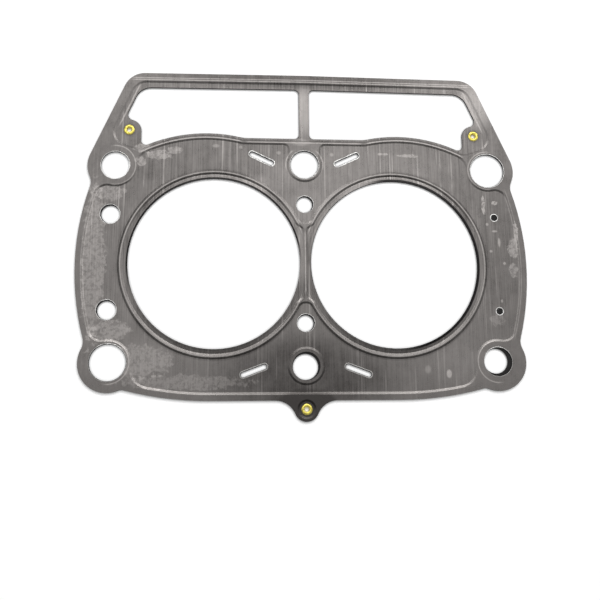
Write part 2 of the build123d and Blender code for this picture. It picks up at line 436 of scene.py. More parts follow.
@dataclass(frozen=True)
class RaisedLines:
    """The bead crests and the edges of the pressed areas, rubbed bright and painted with
    highlights.

    A pair of places says where a line begins to show and where it shows in full, in millimetres.

    Attributes:
        bead: the crest round each bore, and the one on the web between them.
        web_end: how far the web's crest runs to the front and the rear.
        web_fade: the length over which it ends.
        web_gap: distances from the web's middle where the bores' own crests come back.
        lobe: the ring round each corner hole.
        lobe_side: its ends, from the hole's axis toward the outside.
        middle: the ring round the rear middle hole.
        middle_r: that ring's radius.
        middle_front: its front ends, from the hole's axis.
        middle_rear: its rear ends, from the hole's axis.
        edge: the two edges of the flank along the sides.
        side_end: the sides' ends, toward the corners.
        front: the two edges of the flank along the front.
        front_end_y: the ends of the front's line where it turns to the corner.
        front_end_x: the ends of the front's line beside the corner holes.
        front_join: half the length over which the flat middle turns to an arc.
        arch: the window's crest along its arched front side.
        arch_near: the arch's ends toward the middle.
        arch_far: the arch's ends toward the outside.
        arch_front: the arch's ends toward the front.
        sill: the window's crest along the straight piece in the middle.
        sill_end: that piece's ends.
        foot: the outer edge of the rear flank.
        top: the inner edge of the rear flank.
        rear_end: the rear lines' ends.
        bar: the line on the slanted bars.
        bar_in: how far that line lies in from the bar's outer edge.
        bar_front: its ends toward the front.
        bar_rear: its ends toward the rear.
    """

    bead: Stroke = Stroke(0.42, 0.16, 0.75)
    web_end: float = 15.5
    web_fade: float = 2.0
    web_gap: Pair = (1.2, 2.4)
    lobe: Stroke = Stroke(0.40, 0.14, 0.7)
    lobe_side: Pair = (3.0, -1.0)
    middle: Stroke = Stroke(0.50, 0.20, 0.7)
    middle_r: float = 9.0
    middle_front: Pair = (-4.0, 0.0)
    middle_rear: Pair = (7.5, 6.0)
    edge: Stroke = Stroke(0.40, 0.12, 0.36)
    side_end: Pair = (38.0, 34.0)
    front: Stroke = Stroke(0.40, 0.12, 0.24)
    front_end_y: Pair = (-45.0, -50.0)
    front_end_x: Pair = (80.0, 76.0)
    front_join: float = 0.5
    arch: Stroke = Stroke(0.45, 0.16, 1.0)
    arch_near: Pair = (30.0, 32.0)
    arch_far: Pair = (79.5, 77.5)
    arch_front: Pair = (40.0, 46.0)
    sill: Stroke = Stroke(0.45, 0.16, 0.8)
    sill_end: Pair = (29.0, 27.0)
    foot: Stroke = Stroke(0.36, 0.10, 0.8)
    top: Stroke = Stroke(0.40, 0.12, 0.8)
    rear_end: Pair = (86.0, 82.0)
    bar: Stroke = Stroke(0.50, 0.15, 0.8)
    bar_in: float = 6.4
    bar_front: Pair = (65.0, 69.0)
    bar_rear: Pair = (88.5, 85.5)

    def cover(self, point: Point) -> Value:
        """Draw all the lines.

        Args:
            point: the point that is shaded.

        Returns:
            0 elsewhere, and on a line how far it lightens the coat.
        """
        rings = self._beads(point) + self._holes(point)
        edges = self._sides(point) + self._front(point)
        return rings + edges + self._windows(point) + self._frame(point)

    def _beads(self, point: Point) -> Value:
        """The crests round the bores and on the web between them.

        Args:
            point: the point that is shaded.

        Returns:
            The lines' strength.
        """
        along_web = point.high.step(self.web_end, self.web_end - self.web_fade)
        past_web = point.high.step(self.web_end, self.web_end + self.web_fade)
        web = self.bead.along(point.wide) * along_web
        round_bore = self.bead.along(point.from_bore - CREST_R)
        return (round_bore * point.wide.step(*self.web_gap).at_least(past_web)).at_least(web)

    def _holes(self, point: Point) -> Value:
        """The rings round the corner holes and the rear middle hole.

        Args:
            point: the point that is shaded.

        Returns:
            The lines' strength.
        """
        corner_x = point.wide - CORNER_X
        from_corner = distance(corner_x, point.high - CORNER_Y) - CORNER_SEAL_R
        lobe = self.lobe.along(from_corner) * corner_x.step(*self.lobe_side)
        middle_y = point.y - MIDDLE_Y
        middle = self.middle.along(distance(point.x, middle_y) - self.middle_r)
        return lobe + middle * middle_y.step(*self.middle_front) * middle_y.step(*self.middle_rear)

    def _sides(self, point: Point) -> Value:
        """Both edges of the flanks along the sides.

        Args:
            point: the point that is shaded.

        Returns:
            The lines' strength.
        """
        from_axis = distance(point.wide - (SIDE_REACH - SIDE_R), point.y)
        from_side = from_axis - (SIDE_R - EDGE_LAND)
        both = self.edge.along(from_side).at_least(self.edge.along(from_side + FLANK_W))
        return both * point.high.step(*self.side_end)

    def _front(self, point: Point) -> Value:
        """Both edges of the flank along the front, flat in the middle and arched beside it.

        Args:
            point: the point that is shaded.

        Returns:
            The lines' strength.
        """
        flat = point.y - (FRONT_EDGE_Y + EDGE_LAND)
        axis_y = FRONT_EDGE_Y + FRONT_R
        arc = (FRONT_R - EDGE_LAND) - distance(point.wide - FRONT_FLAT, axis_y - point.y)
        arched = point.wide.step(FRONT_FLAT - self.front_join, FRONT_FLAT + self.front_join)
        inside = flat * (1.0 - arched) + arc * arched
        both = self.front.along(inside).at_least(self.front.along(inside - FLANK_W))
        return both * point.y.step(*self.front_end_y) * point.wide.step(*self.front_end_x)

    def _windows(self, point: Point) -> Value:
        """The windows' crests, arched along their front sides and straight in the middle.

        Args:
            point: the point that is shaded.

        Returns:
            The lines' strength.
        """
        crest_in = WINDOW_LAND + FLANK_W + CREST_HALF
        from_axis = distance(point.wide - WINDOW_AXIS_X, point.y - WINDOW_AXIS_Y)
        arch = self.arch.along(from_axis - (WINDOW_R - crest_in)) * point.wide.step(*self.arch_near)
        arch = arch * point.wide.step(*self.arch_far) * point.y.step(*self.arch_front)
        sill = self.sill.along(point.y - (WINDOW_FRONT_Y - crest_in))
        return arch + sill * point.wide.step(*self.sill_end)

    def _frame(self, point: Point) -> Value:
        """The edges of the rear flank, and the line on the slanted bars.

        Args:
            point: the point that is shaded.

        Returns:
            The lines' strength.
        """
        inset = REAR_EDGE_Y - point.wide * (REAR_FALL / SIDE_REACH) - point.y - FRAME_LAND
        rear = self.foot.along(inset).at_least(self.top.along(inset - FLANK_W))
        rear = rear * point.wide.step(*self.rear_end)
        foot_x = CORNER_X + CORNER_LOBE_R * math.cos(SLANT)
        foot_y = CORNER_Y + CORNER_LOBE_R * math.sin(SLANT)
        inward = (foot_x - point.wide) * math.cos(SLANT) + (foot_y - point.y) * math.sin(SLANT)
        bar = self.bar.along(inward - self.bar_in) * point.y.step(*self.bar_front)
        return rear.at_least(bar * point.y.step(*self.bar_rear))


@dataclass(frozen=True)
class Streaks:
    """Fine lengthways streaks, strongest on the pressed-down areas.

    Attributes:
        grain: the fine streaks.
        grain_strength: how far they lighten or darken the coat.
        lines: single long lines.
        line_levels: the noise levels between which a line appears.
        line_strength: how far a line lightens the coat.
        breaks: the patches in which the lines show.
        break_levels: the noise levels between which those patches appear.
        pressed_z: heights between which the streaks grow, down to the pressed areas.
        raised_share: how much of the streaks the raised areas keep.
        front_y: the Y between which the streaks grow, from front to rear.
        front_share: how much of the streaks the front keeps.
    """

    grain: Noise = Noise((2.4, 0.03, 0.1), 3.0, 0.6)
    grain_strength: float = 0.72
    lines: Noise = Noise((0.85, 0.009, 0.1), 2.0, 0.5)
    line_levels: Pair = (0.60, 0.70)
    line_strength: float = 0.42
    breaks: Noise = Noise((0.12, 0.06, 0.1), 2.0, 0.5)
    break_levels: Pair = (0.38, 0.55)
    pressed_z: Pair = (PRESSED_Z + 0.2, PRESSED_Z + 0.05)
    raised_share: float = 0.35
    front_y: Pair = (-60.0, 10.0)
    front_share: float = 0.45

    def cover(self, book: NodeBook, point: Point) -> Value:
        """Draw the streaks.

        Args:
            book: the material's node book.
            point: the point that is shaded.

        Returns:
            How far the streaks lighten the coat.
        """
        grain = book.noise(point.vector, self.grain) - 0.5
        lines = book.noise(point.vector, self.lines).step(*self.line_levels)
        broken = book.noise(point.vector, self.breaks).step(*self.break_levels)
        pressed = point.z.step(*self.pressed_z, self.raised_share, 1.0)
        toward_rear = point.y.step(*self.front_y, self.front_share, 1.0)
        streaks = grain * self.grain_strength + lines * broken * self.line_strength
        return streaks * pressed * toward_rear


@dataclass(frozen=True)
class TurnedRings:
    """Fine rings round each bore, on its land and its bead.

    Attributes:
        rings: the rings' noise, along the radius and along Y.
        drift: what Y is multiplied by, so that a ring hardly changes on its way round.
        strength: how far the rings lighten or darken the coat.
        shade: how much darker they are on the whole.
        outside: the radii between which they appear, from outside.
    """

    rings: Noise = Noise((1.5, 1.0, 1.0), 3.0, 0.6)
    drift: float = 0.02
    strength: float = 0.7
    shade: float = 0.06
    outside: Pair = (CREST_R + 2.4, CREST_R + 1.6)

    def cover(self, book: NodeBook, point: Point) -> Value:
        """Draw the rings.

        Args:
            book: the material's node book.
            point: the point that is shaded.

        Returns:
            How far the rings lighten the coat.
        """
        from_bore = point.from_bore
        along = {"X": from_bore, "Y": point.y * self.drift}
        turned = book.node("ShaderNodeCombineXYZ", {}, along).outputs[0]
        rings = book.noise(turned, self.rings) - 0.5
        return (rings * self.strength - self.shade) * from_bore.step(*self.outside)


@dataclass(frozen=True)
class BoreShadeBand:
    """Painted shade: a black band on the sheet along the bores' edges, to the rear at the left bore
    and to the right at the right bore, standing in for the bore wall in shade and the shadow below
    it.

    Attributes:
        left_way: which way the line faces at the left bore, outward and to the rear.
        right_way: which way it faces at the right bore.
        left_width: the line's width at the left bore in millimetres.
        right_width: its width at the right bore.
        blur: half the width of its soft outer edge.
        ends: shares of the bore's radius along that way, between which the line appears.
        middle: half the width in which the left bore's way turns into the right one's.
    """

    left_way: Pair = (0.17, 0.98)
    right_way: Pair = (0.98, 0.21)
    left_width: float = 0.75
    right_width: float = 0.95
    blur: float = 0.12
    ends: Pair = (-0.25, 0.15)
    middle: float = 1.0

    def cover(self, point: Point) -> Value:
        """Draw the line.

        Args:
            point: the point that is shaded.

        Returns:
            0 elsewhere and 1 on the line.
        """
        right = point.x.step(-self.middle, self.middle)
        outward = (point.wide - BORE_X) * blended(right, self.left_way[0], self.right_way[0])
        rearward = point.y * blended(right, self.left_way[1], self.right_way[1])
        facing = ((outward + rearward) * (1.0 / BORE_R)).step(*self.ends)
        width = blended(right, self.left_width, self.right_width)
        return (point.from_bore - BORE_R - width).step(self.blur, -self.blur) * facing


class Edge(Enum):
    """How a patch ends: the square of its reach where it begins, and where it is in full."""

    SOFT = (1.4, 0.1)
    RAGGED = (0.95, 0.7)


@dataclass(frozen=True)
class WearAndShadeMark:
    """A patch inside an ellipse where the coating is rubbed pale or darkened, or where shade is
    painted.

    Attributes:
        x: the centre's X in millimetres.
        y: the centre's Y in millimetres.
        reach_x: half the width.
        reach_y: half the height.
        strength: how far it lightens, or darkens where negative.
        edge: how the patch ends.
    """

    x: float
    y: float
    reach_x: float
    reach_y: float
    strength: float
    edge: Edge = Edge.SOFT

    def cover(self, point: Point, ragged: Value, mottle: Value) -> Value:
        """Draw the patch.

        Args:
            point: the point that is shaded.
            ragged: noise about zero that breaks up a ragged edge.
            mottle: noise about one that speckles a ragged patch.

        Returns:
            How far the patch lightens the coat.
        """
        across = (point.x - self.x) * (1.0 / self.reach_x)
        along = (point.y - self.y) * (1.0 / self.reach_y)
        spread = across * across + along * along
        if self.edge is Edge.SOFT:
            return spread.step(*self.edge.value) * self.strength
        return (spread + ragged).step(*self.edge.value) * self.strength * mottle


@dataclass(frozen=True)
class WearAndShadePatches:
    """All the patches on the coating, worn ones and ones of painted shade.

    Attributes:
        ragged: the noise of the ragged edges.
        ragged_depth: how far it breaks them up.
        mottle: the noise that speckles the ragged patches.
        mottle_levels: the noise levels from its darkest to its lightest.
        mottle_range: what it multiplies a patch by, from its darkest to its lightest.
        marks: the patches.
    """

    ragged: Noise = Noise((0.34, 0.30, 0.1), 5.0, 0.65)
    ragged_depth: float = 3.2
    mottle: Noise = Noise((0.55, 0.5, 0.1), 5.0, 0.7)
    mottle_levels: Pair = (0.40, 0.54)
    mottle_range: Pair = (0.40, 1.50)
    marks: tuple[WearAndShadeMark, ...] = (
        # The left side, from its edge to the front
        WearAndShadeMark(-99.0, 0.0, 5.5, 40.0, 0.20, Edge.RAGGED),
        WearAndShadeMark(-99.0, 0.0, 7.0, 40.0, 0.04),
        WearAndShadeMark(-90.0, -32.0, 9.0, 5.0, 0.24, Edge.RAGGED),
        WearAndShadeMark(-76.0, -46.0, 15.0, 8.0, 0.18, Edge.RAGGED),
        WearAndShadeMark(-56.0, -55.5, 31.0, 3.6, 0.16, Edge.RAGGED),
        # In front of the left window, and at the left edge
        WearAndShadeMark(-78.0, 55.0, 5.0, 2.4, 0.30, Edge.RAGGED),
        WearAndShadeMark(-70.0, 52.0, 6.5, 2.6, 0.30, Edge.RAGGED),
        WearAndShadeMark(-63.0, 54.5, 4.0, 2.0, 0.26, Edge.RAGGED),
        WearAndShadeMark(-79.0, 48.5, 3.0, 2.4, 0.28, Edge.RAGGED),
        WearAndShadeMark(-93.0, 33.0, 8.0, 4.0, 0.20, Edge.RAGGED),
        # Small rubs in front of the windows
        WearAndShadeMark(-43.0, 57.0, 1.8, 1.0, 0.34),
        WearAndShadeMark(-31.0, 56.5, 1.0, 0.9, 0.34),
        WearAndShadeMark(-12.5, 54.0, 1.2, 1.0, 0.34),
        WearAndShadeMark(13.5, 53.5, 1.0, 1.0, 0.34),
        # The web between the bores, and behind it
        WearAndShadeMark(0.0, 22.0, 12.0, 14.0, 0.18),
        WearAndShadeMark(-2.5, 2.0, 3.0, 13.0, 0.24),
        WearAndShadeMark(-24.0, 37.0, 8.0, 6.0, 0.16),
        # The right side, round the vents and along the edge
        WearAndShadeMark(88.0, 29.0, 0.9, 6.0, 0.50, Edge.RAGGED),
        WearAndShadeMark(93.7, 30.2, 1.8, 1.2, 0.44, Edge.RAGGED),
        WearAndShadeMark(89.3, 19.5, 0.8, 0.8, 0.50),
        WearAndShadeMark(92.8, 16.1, 1.4, 0.6, 0.55),
        WearAndShadeMark(94.8, 10.6, 0.7, 2.4, 0.55),
        WearAndShadeMark(90.5, 6.2, 0.8, 0.7, 0.50),
        WearAndShadeMark(96.8, 0.3, 0.8, 0.8, 0.50),
        WearAndShadeMark(94.4, -17.9, 0.6, 0.9, 0.45),
        WearAndShadeMark(103.4, 16.0, 1.2, 5.5, 0.42, Edge.RAGGED),
        WearAndShadeMark(101.8, 8.0, 3.2, 5.0, 0.32, Edge.RAGGED),
        WearAndShadeMark(101.2, -3.0, 2.4, 4.0, 0.26, Edge.RAGGED),
        WearAndShadeMark(92.0, -27.0, 4.0, 3.0, 0.14, Edge.RAGGED),
        # Two rubs at the right of the front
        WearAndShadeMark(57.0, -50.0, 1.6, 2.0, 0.26),
        WearAndShadeMark(67.0, -52.0, 1.3, 2.0, 0.80),
        # In front of the right window and the frame's middle bar, and behind the bores
        WearAndShadeMark(39.0, 54.2, 3.0, 0.7, 0.30, Edge.RAGGED),
        WearAndShadeMark(51.0, 53.6, 6.0, 0.9, 0.30, Edge.RAGGED),
        WearAndShadeMark(-2.0, 59.5, 5.0, 2.0, 0.30),
        WearAndShadeMark(25.0, 43.0, 48.0, 18.0, 0.14),
        WearAndShadeMark(-12.0, 42.0, 9.0, 8.0, 0.08),
        # The bars of the window frame
        WearAndShadeMark(0.0, 75.0, 5.0, 13.0, 0.42),
        WearAndShadeMark(86.0, 80.0, 10.0, 12.0, 0.40),
        WearAndShadeMark(62.0, 91.5, 20.0, 6.0, 0.04),
        # Painted shade: the front is darker in its middle, and it is paler to both sides
        WearAndShadeMark(0.0, -54.0, 44.0, 19.0, -0.25),
        WearAndShadeMark(0.0, -38.0, 15.0, 10.0, -0.07),
        WearAndShadeMark(0.0, -68.0, 15.0, 9.0, -0.40),
        WearAndShadeMark(-75.0, -44.0, 16.0, 10.0, 0.08),
        WearAndShadeMark(72.0, -47.0, 16.0, 10.0, 0.08),
        # Beside and behind the bores
        WearAndShadeMark(97.0, 0.0, 13.0, 52.0, -0.05),
        WearAndShadeMark(82.5, 0.0, 4.5, 27.0, 0.14),
        WearAndShadeMark(-82.5, -5.0, 4.5, 32.0, 0.09),
        WearAndShadeMark(46.0, 41.8, 16.0, 2.4, -0.16),
        WearAndShadeMark(-75.0, 44.0, 6.0, 5.0, -0.08),
        # The seat of the front middle hole and the rear edge
        WearAndShadeMark(0.0, -MIDDLE_Y, 8.4, 8.4, 0.18),
        WearAndShadeMark(0.0, 92.0, 72.0, 5.0, -0.19),
        # Painted shade round the left and right eyelets, on their tabs
        WearAndShadeMark(-EYELET_X, EYELET_Y, 3.4, 3.4, -0.20),
        WearAndShadeMark(EYELET_X, EYELET_Y, 3.4, 3.4, -0.20),
    )

    def cover(self, book: NodeBook, point: Point) -> Value:
        """Draw the patches, one over the other.

        Args:
            book: the material's node book.
            point: the point that is shaded.

        Returns:
            How far the patches lighten the coat.
        """
        ragged = (book.noise(point.vector, self.ragged) - 0.5) * self.ragged_depth
        mottle = book.noise(point.vector, self.mottle).step(*self.mottle_levels, *self.mottle_range)
        first, *others = (mark.cover(point, ragged, mottle) for mark in self.marks)
        return sum(others, first)


@dataclass(frozen=True)
class CoatedSheet:
    """Grey coated steel: streaked lengthways, rubbed in patches, bright on its raised lines with
    painted highlights, and with painted shade on its lower cut walls, along the bores' edges and in
    some patches.

    Attributes:
        name: the material's name.
        coat: the coating's colour where it is whole.
        rubbed: its colour where it is rubbed through.
        cut_steel: the colour of a clean cut wall.
        shade_black: the near black of the painted shade on the cut walls, partly soot at the bores,
            and of the band along the bores' edges.
        base: how far the coating is rubbed all over, from 0 to 1.
        speck: fine noise.
        cloud: broad noise.
        speck_wear: how far the fine noise lightens or darkens the coat.
        cloud_wear: how far the broad noise does.
        line_wear_and_highlight: how much of the raised lines shows where the specks are darkest and
            lightest.
        wall_upright: upright shares of the normal, between which a face turns to a cut wall.
        clean_z: heights between which a cut wall turns from painted shade to clean steel.
        clean_r: radii round a bore between which it does.
        rough: the coating's roughness.
        speck_rough: how far the fine noise changes it.
        cloud_rough: how far the broad noise changes it.
        shaded_wall_rough: how much rougher a cut wall is where it is painted dark.
        land_tilt: how far the bores' lands rise inward, in reliefs for each millimetre.
        speck_relief: the height of the specks, in reliefs.
        relief: the height in millimetres that those two are multiples of.
        metal: how metallic the whole sheet is.
        lines: the raised lines, rubbed bright and painted as highlights.
        streaks: the lengthways streaks.
        rings: the rings round the bores.
        bore_shade: the band of painted shade along the bores' edges.
        patches: the worn patches and the patches of painted shade.
    """

    name: str = "coated_sheet"
    coat: Triple = (0.047, 0.043, 0.041)
    rubbed: Triple = (0.332, 0.312, 0.300)
    cut_steel: Triple = (0.30, 0.285, 0.27)
    shade_black: Triple = (0.012, 0.011, 0.011)
    base: float = 0.34
    speck: Noise = Noise((0.9, 0.7, 0.5), 5.0, 0.7)
    cloud: Noise = Noise((0.16, 0.13, 0.1), 4.0, 0.6)
    speck_wear: float = 0.22
    cloud_wear: float = 0.28
    line_wear_and_highlight: Pair = (0.25, 1.0)
    wall_upright: Pair = (0.5, 0.3)
    clean_z: Pair = (0.9, 1.0)
    clean_r: Pair = (BORE_R + 0.2, BORE_R + 0.5)
    rough: float = 0.30
    speck_rough: float = 0.18
    cloud_rough: float = 0.1
    shaded_wall_rough: float = 0.35
    land_tilt: float = 6.0
    speck_relief: float = 0.4
    relief: float = 0.02
    metal: float = 0.9
    lines: RaisedLines = RaisedLines()
    streaks: Streaks = Streaks()
    rings: TurnedRings = TurnedRings()
    bore_shade: BoreShadeBand = BoreShadeBand()
    patches: WearAndShadePatches = WearAndShadePatches()

    def build(self) -> bpy.types.Material:
        """Build the material.

        Returns:
            The material.
        """
        book = MaterialBook(self.name)
        point = book.point()
        speck = book.noise(point.vector, self.speck)
        cloud = book.noise(point.vector, self.cloud)
        share = self._wear_and_painted_light(book, point, speck, cloud)
        wall = self._wall(book)
        # Painted shade: the cut walls below the top sheet and at the bores are painted near black,
        # partly soot at the bores
        clean = point.z.step(*self.clean_z) * point.from_bore.step(*self.clean_r)
        colour = book.blend(share, self.coat, self.rubbed)
        colour = book.blend(wall, colour, book.blend(clean, self.shade_black, self.cut_steel))
        # Painted shade: a black band along the bores' edges
        colour = book.blend(self.bore_shade.cover(point), colour, self.shade_black)
        rough = self.rough + (speck - 0.5) * self.speck_rough + (cloud - 0.5) * self.cloud_rough
        rough = rough + wall * (1.0 - clean) * self.shaded_wall_rough
        dished = (LAND_R - point.from_bore).at_least(0.0) * self.land_tilt
        height = {"Height": dished + speck * self.speck_relief, "Distance": self.relief * MM}
        bump = book.node("ShaderNodeBump", {}, {"Strength": 1.0, **height}).outputs[0]
        surface = {"Base Color": colour, "Metallic": self.metal, "Roughness": rough, "Normal": bump}
        return book.finish(surface)

    def _wear_and_painted_light(self, book: NodeBook, point: Point, speck: Value, cloud: Value) -> Value:
        """How far the coating is rubbed through, with painted highlights and painted shade added
        in.

        Args:
            book: the material's node book.
            point: the point that is shaded.
            speck: the fine noise.
            cloud: the broad noise.

        Returns:
            0 where the coating is whole or painted dark, and 1 where it is rubbed through or
            painted bright.
        """
        noises = (cloud - 0.5) * self.cloud_wear + (speck - 0.5) * self.speck_wear
        # Painted highlights, partly rubbed wear, along the crests and the flanks' edges
        lines = self.lines.cover(point) * blended(speck, *self.line_wear_and_highlight)
        drawn = self.streaks.cover(book, point) + self.rings.cover(book, point)
        wear_and_light = noises + lines + drawn + self.patches.cover(book, point)
        return (wear_and_light + self.base).at_least(0.0).at_most(1.0)

    def _wall(self, book: NodeBook) -> Value:
        """1 on the cut walls of the openings and the outline, and 0 on the faces."""
        normal = book.node("ShaderNodeNewGeometry", {}, {}).outputs["True Normal"]
        upright = abs(book.value("ShaderNodeSeparateXYZ", {}, {0: normal}, "Z"))
        return upright.step(*self.wall_upright)


@dataclass(frozen=True)
class SpacerCoat:
    """Black coating of the flat sheet in the middle.

    Attributes:
        name: the material's name.
        coat: the coating's colour.
        dust: its colour where it is dusty.
        grime: the noise of the dust.
        dust_levels: the noise levels between which the dust appears.
        rough: the coating's roughness.
        grime_rough: how far the noise changes it.
        shine: the strength of its reflection.
    """

    name: str = "spacer_coating"
    coat: Triple = (0.012, 0.011, 0.011)
    dust: Triple = (0.026, 0.024, 0.023)
    grime: Noise = Noise((0.5, 0.5, 1.5), 4.0, 0.65)
    dust_levels: Pair = (0.45, 0.75)
    rough: float = 0.55
    grime_rough: float = 0.3
    shine: float = 0.2

    def build(self) -> bpy.types.Material:
        """Build the material.

        Returns:
            The material.
        """
        book = MaterialBook(self.name)
        grime = book.noise(book.point().vector, self.grime)
        colour = book.blend(grime.step(*self.dust_levels), self.coat, self.dust)
        rough = self.rough + (grime - 0.5) * self.grime_rough
        surface = {"Base Color": colour, "Roughness": rough, "Specular IOR Level": self.shine}
        return book.finish(surface)


@dataclass(frozen=True)
class Brass:
    """Bright brass, duller and browner in patches.

    Attributes:
        name: the material's name.
        bright: the clean brass.
        dull: the tarnished brass.
        tarnish: the noise of the tarnish.
        tarnish_levels: the noise levels between which the tarnish appears.
        rough: the clean brass's roughness.
        tarnish_rough: how far the noise adds to it.
    """

    name: str = "eyelet_brass"
    bright: Triple = (0.80, 0.69, 0.15)
    dull: Triple = (0.40, 0.32, 0.07)
    tarnish: Noise = Noise((1.1, 1.1, 1.1), 4.0, 0.6)
    tarnish_levels: Pair = (0.42, 0.70)
    rough: float = 0.26
    tarnish_rough: float = 0.2

    def build(self) -> bpy.types.Material:
        """Build the material.

        Returns:
            The material.
        """
        book = MaterialBook(self.name)
        tarnish = book.noise(book.point().vector, self.tarnish)
        colour = book.blend(tarnish.step(*self.tarnish_levels), self.bright, self.dull)
        rough = self.rough + tarnish * self.tarnish_rough
        return book.finish({"Base Color": colour, "Metallic": 1.0, "Roughness": rough})


@dataclass(frozen=True)
class CutSteel:
    """Bare steel where a punch has turned the edge over.

    Attributes:
        name: the material's name.
        bright: the steel where it shines.
        grey: the steel where it has dulled.
        dull: the steel toward the front.
        rub: the noise of the dulled places.
        grey_levels: the noise levels between which they appear.
        front_y: the Y between which the steel turns dull, toward the front.
        rough: the shining steel's roughness.
        rub_rough: how far the noise adds to it.
        metal: how metallic it is.
    """

    name: str = "punched_edge"
    bright: Triple = (0.95, 0.94, 0.92)
    grey: Triple = (0.52, 0.51, 0.50)
    dull: Triple = (0.34, 0.33, 0.32)
    rub: Noise = Noise((0.45, 0.45, 0.45), 3.0, 0.6)
    grey_levels: Pair = (0.35, 0.65)
    front_y: Pair = (-38.0, -46.0)
    rough: float = 0.28
    rub_rough: float = 0.2
    metal: float = 0.9

    def build(self) -> bpy.types.Material:
        """Build the material.

        Returns:
            The material.
        """
        book = MaterialBook(self.name)
        point = book.point()
        rub = book.noise(point.vector, self.rub)
        colour = book.blend(rub.step(*self.grey_levels), self.bright, self.grey)
        colour = book.blend(point.y.step(*self.front_y), colour, self.dull)
        rough = self.rough + rub * self.rub_rough
        return book.finish({"Base Color": colour, "Metallic": self.metal, "Roughness": rough})


@dataclass(frozen=True)
class StudioWhite:
    """Pale studio surface that shows white behind the object and keeps its shadow.

    Attributes:
        name: the material's name.
        colour: the surface's own colour.
        lift: the brightness added for direct rays.
        shade_reach: how far off, in metres, the object still shades the added brightness.
        shade_samples: rays for that shade.
        fade: distances in metres between which the surface turns plain white.
    """

    name: str = "studio_white"
    colour: Triple = (0.92, 0.92, 0.92)
    lift: float = 0.40
    shade_reach: float = 0.0012
    shade_samples: int = 8
    fade: Pair = (0.25, 0.8)

    def build(self) -> bpy.types.Material:
        """Build the material.

        Returns:
            The material.
        """
        book = MaterialBook(self.name)
        point = book.point()
        direct = book.direct_rays()
        sampling = {"samples": self.shade_samples}
        reach = {"Distance": self.shade_reach}
        open_sky = book.value("ShaderNodeAmbientOcclusion", sampling, reach, "AO")
        base = book.node("ShaderNodeBsdfDiffuse", {}, {"Color": self.colour}).outputs[0]
        glow = self._glow(book, self.lift)
        lifted = book.node("ShaderNodeAddShader", {}, {0: base, 1: glow}).outputs[0]
        # Squared, the shade is deeper close to the object
        near = book.layered(direct * (open_sky * open_sky), base, lifted)
        away = (distance(point.x, point.y) * MM).step(*self.fade)
        book.close(book.layered(direct * away, near, self._glow(book, 1.0)))
        return book.material

    def _glow(self, book: NodeBook, strength: float) -> bpy.types.NodeSocket:
        """A shader that gives off white light of the given strength."""
        light = {"Color": WHITE, "Strength": strength}
        return book.node("ShaderNodeEmission", {}, light).outputs[0]


@dataclass
class LayerStack:
    """The three sheets, which keep their solids and get their finishes.

    Attributes:
        sheet: the finish of the two outer sheets.
        spacer: the finish of the sheet between them.
    """

    sheet: CoatedSheet = field(default_factory=CoatedSheet)
    spacer: SpacerCoat = field(default_factory=SpacerCoat)

    def build(self) -> list[bpy.types.Object]:
        """Dress the sheets.

        Returns:
            The dressed nodes.
        """
        coated = self.sheet.build()
        black = self.spacer.build()
        finishes = {Layer.TOP: coated, Layer.BOTTOM: coated, Layer.SPACER: black}
        dressed = []
        for layer, material in finishes.items():
            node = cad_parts[layer.value]
            for slot in node.material_slots:
                slot.material = material
            dressed.append(node)
        return dressed


@dataclass(frozen=True)
class RimGroup:
    """Openings of one size whose punched edges stand up a little.

    Attributes:
        name: the piece's name.
        places: X, Y and turn in degrees of each opening.
        length: the opening's length in millimetres.
        width: the opening's width in millimetres.
        surface_z: the height of the sheet round it in millimetres.
        rim: how wide the turned edge is in millimetres.
    """

    name: str
    places: tuple[Triple, ...]
    length: float
    width: float
    surface_z: float
    rim: float


def slot_pair(x: float, y: float, turn: float) -> tuple[Triple, Triple]:
    """A slot at the left and its mirror image at the right, which has the turn given."""
    return (-x, y, -turn), (x, y, turn)


def round_group(
    name: str, places: tuple[Triple, ...], diameter: float, surface_z: float, rim: float
) -> RimGroup:
    """Round openings of one diameter, with the same values as a group of any openings."""
    return RimGroup(name, places, diameter, diameter, surface_z, rim)


def rear_and_front(x: float, y: float) -> tuple[Triple, Triple]:
    """A round opening toward the rear and its mirror image toward the front."""
    return (x, y, 0.0), (x, -y, 0.0)


def across_corners(x: float, y: float) -> tuple[Triple, Triple]:
    """A round opening at one corner and its like at the corner opposite."""
    return (x, y, 0.0), (-x, -y, 0.0)


